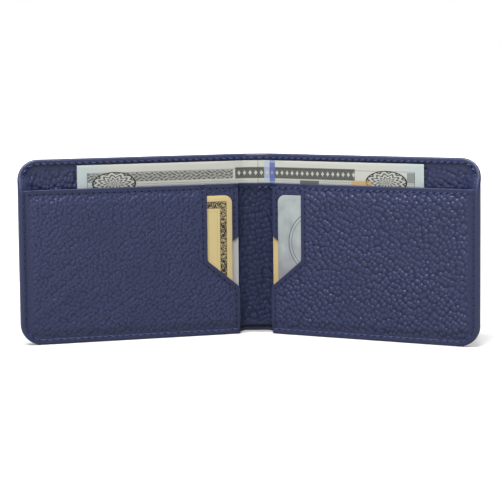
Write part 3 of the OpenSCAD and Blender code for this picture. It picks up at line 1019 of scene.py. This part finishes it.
def make_cover(side):
    """Half of the outer cover: a turned rim swept along the edge, an outer face with grain, and
    a plain inner face, all closed up to the spine's middle."""
    name = SIDES[side]
    base, inward, along = stations(EDGE_STEP)
    count = len(base)
    profile = turned_edge(side, base, inward, along)
    points, uv, edge, seam = [], [], [], []
    for inset, level, edge_share, seam_share in profile:
        spot = base + inset[:, None] * inward
        u, z = spot.T
        points.append(place(side, u, level, z + spine_lift(u, z)))
        uv.append(np.column_stack([side * along, level + inset]))
        edge.append(np.full(count, edge_share))
        fold_shade = 2.0 * (1 - climb(base[:, 0], 2.5, 1.5)) * (base[:, 1] < 5)
        seam.append(np.maximum(seam_share, fold_shade))
    rings = len(profile)
    panel_ring = base + FACE_INSET * inward
    cut_line = chain([panel_ring[-1], panel_ring[0]], EDGE_STEP)[1:-1]
    boundary = np.vstack([panel_ring, cut_line])
    small = np.vstack([panel_ring[::6], panel_ring[-1:], cut_line[-1:]])
    flat, triangles = fill(boundary, small, FINE, (), lambda u, z: np.full(len(u), True))
    u, z = flat.T
    spread = spread_out(side, u, z)
    height = COVER_GRAIN.at(*spread.T)
    amount = climb(rim_inset(u, z), 2.5, 1.6)
    level = cover_back(u, z) + COVER_GRAIN.height * (height - COVER_GRAIN.crown) * amount
    inner, inner_triangles = fill(boundary, small, PLAIN, (), changes_fast)
    inner_u, inner_z = inner.T
    inset = rim_inset(inner_u, inner_z)
    inner_level = cover_back(inner_u, inner_z) - mix(SKIVED_T, COVER_T, climb(inset, 4, 4))
    start, inner_start = rings * count, rings * count + len(flat)
    points += [place(side, u, level, z + spine_lift(u, z)),
               place(side, inner_u, inner_level, inner_z + spine_lift(inner_u, inner_z))]
    uv += [spread, spread_out(side, *inner.T)]
    edge += [0 * u, 0 * inner_u]
    seam += [0 * u, 0 * inner_u]
    grid = np.arange(count - 1)
    strip = []
    chain_of_rings = [inner_start] + [k * count for k in range(rings)] + [start]
    for first, second in zip(chain_of_rings[:-1], chain_of_rings[1:]):
        a, b, c, d = first + grid, first + grid + 1, second + grid + 1, second + grid
        strip += [np.column_stack([a, b, c]), np.column_stack([a, c, d])]
    strip = np.vstack(strip)
    strip = strip if side == LEFT else strip[:, ::-1]
    faces = np.vstack([strip, facing(triangles, side, False) + start,
                       facing(inner_triangles, side, True) + inner_start])
    which = np.concatenate([np.ones(len(strip)), np.zeros(len(triangles) + len(inner_triangles))])
    total = sum(len(group) for group in points)
    grain = np.full(total, RIM_GRAIN)
    grain[start:start + len(flat)] = mix(0.5, height, amount)
    attributes = {"grain": grain, "edge": np.concatenate(edge), "seam": np.concatenate(seam)}
    piece = new_object(f"leather_cover_{name}", np.vstack(points), faces, np.vstack(uv),
                       [COVER_LEATHER, RIM_LEATHER], attributes, which)
    return declare(piece, "cover_leather", f"cover_{name}", "cover_spine")


def bend_with(piece):
    """Bakes a piece's placement into its points."""
    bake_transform(piece)


# ---- stitches ----

STITCH, SUNK_STITCH = (1.7, 0.5, 0.34), (1.7, 0.42, 0.34)   # length, width and height
PIT, LONG_PIT = (0.7, 0.55, 0.18), (1.05, 0.55, 0.18)       # of the dark shapes between them that paint the needle holes' shade


def capsule(length, width, height, around=8, along=7):
    """A flattened rounded rod about the origin: length on x, width on y, height on z."""
    points, faces = [], []
    for i in range(along):
        t = i / (along - 1) * 2 - 1
        thick = math.sqrt(max(0.0, 1 - abs(t) ** 3)) + 0.04
        for j in range(around):
            a = 2 * math.pi * j / around
            points.append((t * length / 2, thick * width / 2 * math.cos(a),
                           thick * height / 2 * math.sin(a)))
    for i in range(along - 1):
        for j in range(around):
            a, b = i * around + j, i * around + (j + 1) % around
            c, d = b + around, a + around
            faces += [(a, b, c), (a, c, d)]
    for ring in (range(around), range((along - 1) * around, along * around)):
        ring = list(ring)
        order = ring if ring[0] else ring[::-1]
        faces += [(order[0], order[k], order[k + 1]) for k in range(1, around - 1)]
    return np.array(points), np.array(faces)


def walk(points, spacing, start=0.0):
    """Places and directions spacing apart along a chain of points."""
    points = np.array(points, float)
    steps = np.diff(points, axis=0)
    lengths = np.linalg.norm(steps, axis=1)
    reach = np.concatenate([[0], np.cumsum(lengths)])
    spots = np.arange(start, reach[-1] - 0.3, spacing)
    index = np.clip(np.searchsorted(reach, spots, side="right") - 1, 0, len(steps) - 1)
    share = (spots - reach[index]) / lengths[index]
    return points[index] + share[:, None] * steps[index], steps[index] / lengths[index][:, None]


def stitches(name, side, runs, *nodes, body=None):
    """One piece of stitches, which replaces these CAD nodes. Each run is a chain of points, a
    level, whether it shows on the leather's back, a slant in degrees, and whether it is sunk:
    then its thread is darker and its needle holes longer, both painted shade."""
    rng = np.random.default_rng(len(name) + 7)
    points, faces, which, uv, total = [], [], [], [], 0
    for path, level, outside, slant, sunk in runs:
        spots, ways = walk(path, PITCH, PITCH / 2)
        rod, rod_faces = capsule(*(SUNK_STITCH if sunk else STITCH))
        pit, pit_faces = capsule(*(LONG_PIT if sunk else PIT), along=5)
        out = 1 if outside else -1
        for spot, way in zip(spots, ways):
            # Stitches running up and down, in sunk seams and at the spine's foot take the darker
            # thread: painted shade.
            shade_and_wear = sunk or abs(way[1]) > 0.8 or (spot[0] < 3.5 and spot[1] < 5)
            turn = math.atan2(way[1], way[0]) + math.radians(slant + rng.normal(0, 2.5))
            axis = np.array([math.cos(turn), math.sin(turn)])
            cross = np.array([-axis[1], axis[0]])
            height = -0.08 if sunk else 0.0 if shade_and_wear else 0.06
            for shape, shape_faces, shift, lift, material in (
                    (rod, rod_faces, 0.0, height, 2 if shade_and_wear else 0),
                    (pit, pit_faces, PITCH / 2, 0.0, 1)):
                flat = spot + way * shift + shape[:, :1] * axis + shape[:, 1:2] * cross
                u, z = flat.T
                v = level(u, z) + out * (lift + shape[:, 2])
                points.append(place(side, u, v, z + spine_lift(u, z)))
                faces.append(shape_faces + total)
                which.append(np.full(len(shape_faces), material))
                uv.append(spread_out(side, u, z))
                total += len(shape)
    piece = new_object(name, np.vstack(points), np.vstack(faces), np.vstack(uv),
                       [THREAD, HOLE_SHADE, SHADED_THREAD], None, np.concatenate(which))
    return declare(piece, "thread", *nodes, body=body)


def beside(level, offset=GROOVE):
    """A level that lies this much further back than another."""
    return lambda u, z: level(u, z) + offset


def top_level(u, z):
    """Level of the foremost layer along the seam below the divider's top edge."""
    front = mix(rear_level(u, z), front_level(u, z), climb(u, FRONT_EDGE_U, 0.8))
    return mix(divider_level(u, z), front, climb(u, POCKET_U, 0.8))


def make_stitches(side):
    """All seams of a leaf. Those along its edge and its top are returned."""
    name = SIDES[side]
    base, inward = stations(EDGE_STEP)[:2]
    seam = base + SEAM * inward
    top = [(FOLD, TOP_SEAM), (LEAF - RIM_W - 0.4, TOP_SEAM)]
    rear = [(POCKET_U + SEAM, NOTCH_HIGH + 0.6), (POCKET_U + SEAM, TOP_SEAM - 0.6)]
    bending = [
        stitches(f"stitches_edge_{name}", side,
                 [(seam, beside(rim_front), False, 22, False),
                  (seam, beside(rim_back, -GROOVE), True, 22, False)],
                 f"edge_thread_{name}", "cover_thread_spine"),
        stitches(f"stitches_top_{name}", side, [(top, beside(top_level), False, 24, side == LEFT)],
                 f"top_thread_{name}", "divider_thread_spine")]
    for place_name, path, level in (("front", front_edge(SEAM)[::-1], front_level),
                                    ("rear", rear, rear_level)):
        stitches(f"stitches_{place_name}_{name}", side, [(path, beside(level), False, 28, True)],
                 f"{place_name}_thread_{name}", body=name + "_leaf")
    return bending


# ---- cards and notes ----

def plate(name, side, outline, level, thickness, bevel, material, origin, spacing, cut=None,
          detail=None):
    """A thin stiff sheet with fine bevelled edges. origin is the flat point its print starts at."""
    outline = np.array(outline, float)
    boundary = chain(list(outline) + [outline[0]], 0.6)[:-1]
    count = len(boundary)
    flat, triangles = fill(boundary, outline, spacing, (), detail)
    outward = -inward_of(boundary)
    free = np.ones(count) if cut is None else (np.abs(boundary[:, 0] - cut) > 1e-6).astype(float)
    if cut is not None:
        outward[:, 0] *= free
    layers = [(flat, 0.0, 0.0), (boundary, 0.3 * bevel, 0.7 * bevel), (boundary, bevel, bevel),
              (boundary, thickness - bevel, bevel),
              (boundary, thickness - 0.3 * bevel, 0.7 * bevel), (flat, thickness, 0.0)]
    points, uv, starts, total = [], [], [], 0
    for group, depth, grow in layers:
        spot = group + (grow * outward if len(group) == count and grow else 0)
        points.append(place(side, spot[:, 0], level(group[:, 0], group[:, 1]) + depth, spot[:, 1]))
        uv.append(spread_out(side, *spot.T) - origin)
        starts.append(total)
        total += len(group)
    index = np.arange(count)
    after = np.roll(index, -1)
    keep = np.ones(count, bool) if cut is None else (free + np.roll(free, -1)) > 0
    index, after = index[keep], after[keep]
    strip = []
    for first, second in zip(starts[:-1], starts[1:]):
        strip += [np.column_stack([first + index, second + after, first + after]),
                  np.column_stack([first + index, second + index, second + after])]
    strip = np.vstack(strip)
    faces = np.vstack([facing(strip, side, True), facing(triangles, side, True) + starts[0],
                       facing(triangles, side, False) + starts[-1]])
    return new_object(name, np.vstack(points), faces, np.vstack(uv), [material])


def make_card(side, place_name, material, slot_name):
    node = f"{place_name}_card_{SIDES[side]}"
    low, high = span(node, side)
    radius, bevel = 3.18, 0.07
    u0, u1, z0, z1 = low[0] + bevel, high[0] - bevel, low[2] + bevel, high[2] - bevel
    outline = []
    for u, z, angle in ((u1 - radius, z0 + radius, -90), (u1 - radius, z1 - radius, 0),
                        (u0 + radius, z1 - radius, 90), (u0 + radius, z0 + radius, 180)):
        outline += arc((u, z), radius, angle, angle + 90, 10)
    start = low[0] + HINGE_X if side == RIGHT else -(high[0] + HINGE_X)
    piece = plate(f"card_{place_name}_{SIDES[side]}", side, outline, lambda u, z: low[1] + 0 * u,
                  high[1] - low[1], bevel, material, (start, low[2]), 6.0)
    declare(piece, slot_name, node, body=node)


def note_level(u, z):
    """The note lies close behind the divider, and is thin and flat enough to pass the rim."""
    x = u + HINGE_X
    wave = np.sin(x / 8.5) * np.sin(z / 11 + 1) * climb(x, 8, 8)
    return 0.05 + 0.02 * wave + bow(u)


def make_note(side):
    outline = [(FOLD, NOTE_BASE), (NOTE_END, NOTE_BASE), (NOTE_END, NOTE_TOP), (FOLD, NOTE_TOP)]
    piece = plate(f"banknote_{SIDES[side]}", side, outline, note_level, 0.15, 0.04, NOTE_PAPER,
                  (0, 0), 0.6, FOLD, lambda u, z: u < 8)
    return declare(piece, "banknote", f"note_{SIDES[side]}", "note_middle")


# ---- the wallet ----

halves = {}
for side in SIDES:
    name = SIDES[side]
    make_pockets(side)
    halves[side] = [make_cover(side), make_lining(side), make_divider(side), make_note(side)]
    halves[side] += make_stitches(side)
    board = frame["nodes"][f"board_{name}"]
    board.data.materials.clear()
    board.data.materials.append(BOARD)
make_card(LEFT, "rear", GREY_CARD, "grey_card")
make_card(LEFT, "front", GOLD_CARD, "gold_card")
make_card(RIGHT, "rear", GOLD_CARD, "gold_card")
make_card(RIGHT, "front", SILVER_CARD, "silver_card")
for one, other in list(zip(halves[LEFT], halves[RIGHT]))[:4]:
    match_seam(one, other)
for side in SIDES:
    for piece in halves[side]:
        if piece.name.startswith("banknote"):
            bend_with(piece)
        else:
            bend_with(piece)

# ---- floor, light and camera ----

def add_floor():
    """A white floor that glows softly far from the wallet, so that it has no grey horizon."""
    mesh = bpy.data.meshes.new("floor")
    mesh.from_pydata([(-9, -9, 0), (9, -9, 0), (9, 9, 0), (-9, 9, 0)], [], [(0, 1, 2, 3)])
    shader = Shader("floor", 0.8, 0.1)
    where = shader.node("ShaderNodeTexCoord")
    length = shader.node("ShaderNodeVectorMath", operation="LENGTH")
    shader.link(where.outputs["Object"], length.inputs[0])
    glow = shader.value(length.outputs["Value"]).ramp(0.35, 1.3)
    shader.body.inputs["Emission Color"].default_value = (1, 1, 1, 1)
    shader.link(glow.socket, shader.body.inputs["Emission Strength"])
    seen = shader.value(shader.node("ShaderNodeLightPath").outputs["Is Camera Ray"])
    mesh.materials.append(shader.finish(shader.blend(seen, (0.38, 0.38, 0.38), (0.80, 0.80, 0.797))))
    add_object("floor", mesh)


def add_area(name, place_at, target, size, power, colour=(1, 1, 1)):
    light = bpy.data.lights.new(name, "AREA")
    light.shape = "RECTANGLE"
    light.size, light.size_y = size
    light.energy = power
    light.color = colour
    holder = add_object(name, light)
    holder.location = place_at
    holder.rotation_euler = (Vector(target) - Vector(place_at)).to_track_quat("-Z", "Y").to_euler()


def add_world():
    """White where the camera sees it, and a weak even light on everything."""
    world = bpy.data.worlds.new("studio")
    bpy.context.scene.world = world
    world.use_nodes = True
    tree = world.node_tree
    path = tree.nodes.new("ShaderNodeLightPath")
    choose = tree.nodes.new("ShaderNodeMixShader")
    seen, lit = tree.nodes.new("ShaderNodeBackground"), tree.nodes["Background"]
    for background, colour, strength in ((seen, (1, 1, 1, 1), 1.0), (lit, (0.98, 0.99, 1, 1), 0.19)):
        background.inputs[0].default_value = colour
        background.inputs[1].default_value = strength
    tree.links.new(path.outputs["Is Camera Ray"], choose.inputs[0])
    tree.links.new(lit.outputs[0], choose.inputs[1])
    tree.links.new(seen.outputs[0], choose.inputs[2])
    tree.links.new(choose.outputs[0], tree.nodes["World Output"].inputs[0])


def add_camera():
    data = bpy.data.cameras.new("camera")
    data.lens, data.sensor_width = 150.5, 36.0      # as fitted to the photograph's outline
    data.clip_start, data.clip_end = 0.05, 20.0
    camera = add_object("camera", data)
    down, pan, roll = math.radians(6.162), math.radians(-0.029), math.radians(0.575)
    ahead = Vector((math.sin(pan) * math.cos(down), math.cos(pan) * math.cos(down), -math.sin(down)))
    level_up = Vector((math.sin(pan) * math.sin(down), math.cos(pan) * math.sin(down), math.cos(down)))
    level_right = Vector((math.cos(pan), -math.sin(pan), 0))
    right = level_right * math.cos(roll) - level_up * math.sin(roll)
    up = level_right * math.sin(roll) + level_up * math.cos(roll)
    turn = Matrix((right, up, -ahead)).transposed().to_4x4()
    camera.matrix_world = Matrix.Translation((-0.00234, -0.8934, 0.13177)) @ turn
    bpy.context.scene.camera = camera


add_floor()
add_world()
add_area("overhead", (-0.2, -0.62, 1.25), (0, 0, 0.03), (0.7, 0.5), 29)
add_area("top", (0.1, 0.35, 1.5), (0, 0, 0), (2.2, 1.4), 13)
add_area("back_fill", (0.6, 1.5, 0.9), (0, 0, 0.04), (1.4, 1.0), 16, (0.98, 0.99, 1))
add_area("front_fill", (-0.5, -1.6, 0.8), (0, 0, 0.04), (1.2, 1.0), 3, (0.97, 0.98, 1))
add_camera()
bpy.context.scene.view_settings.view_transform = "Standard"
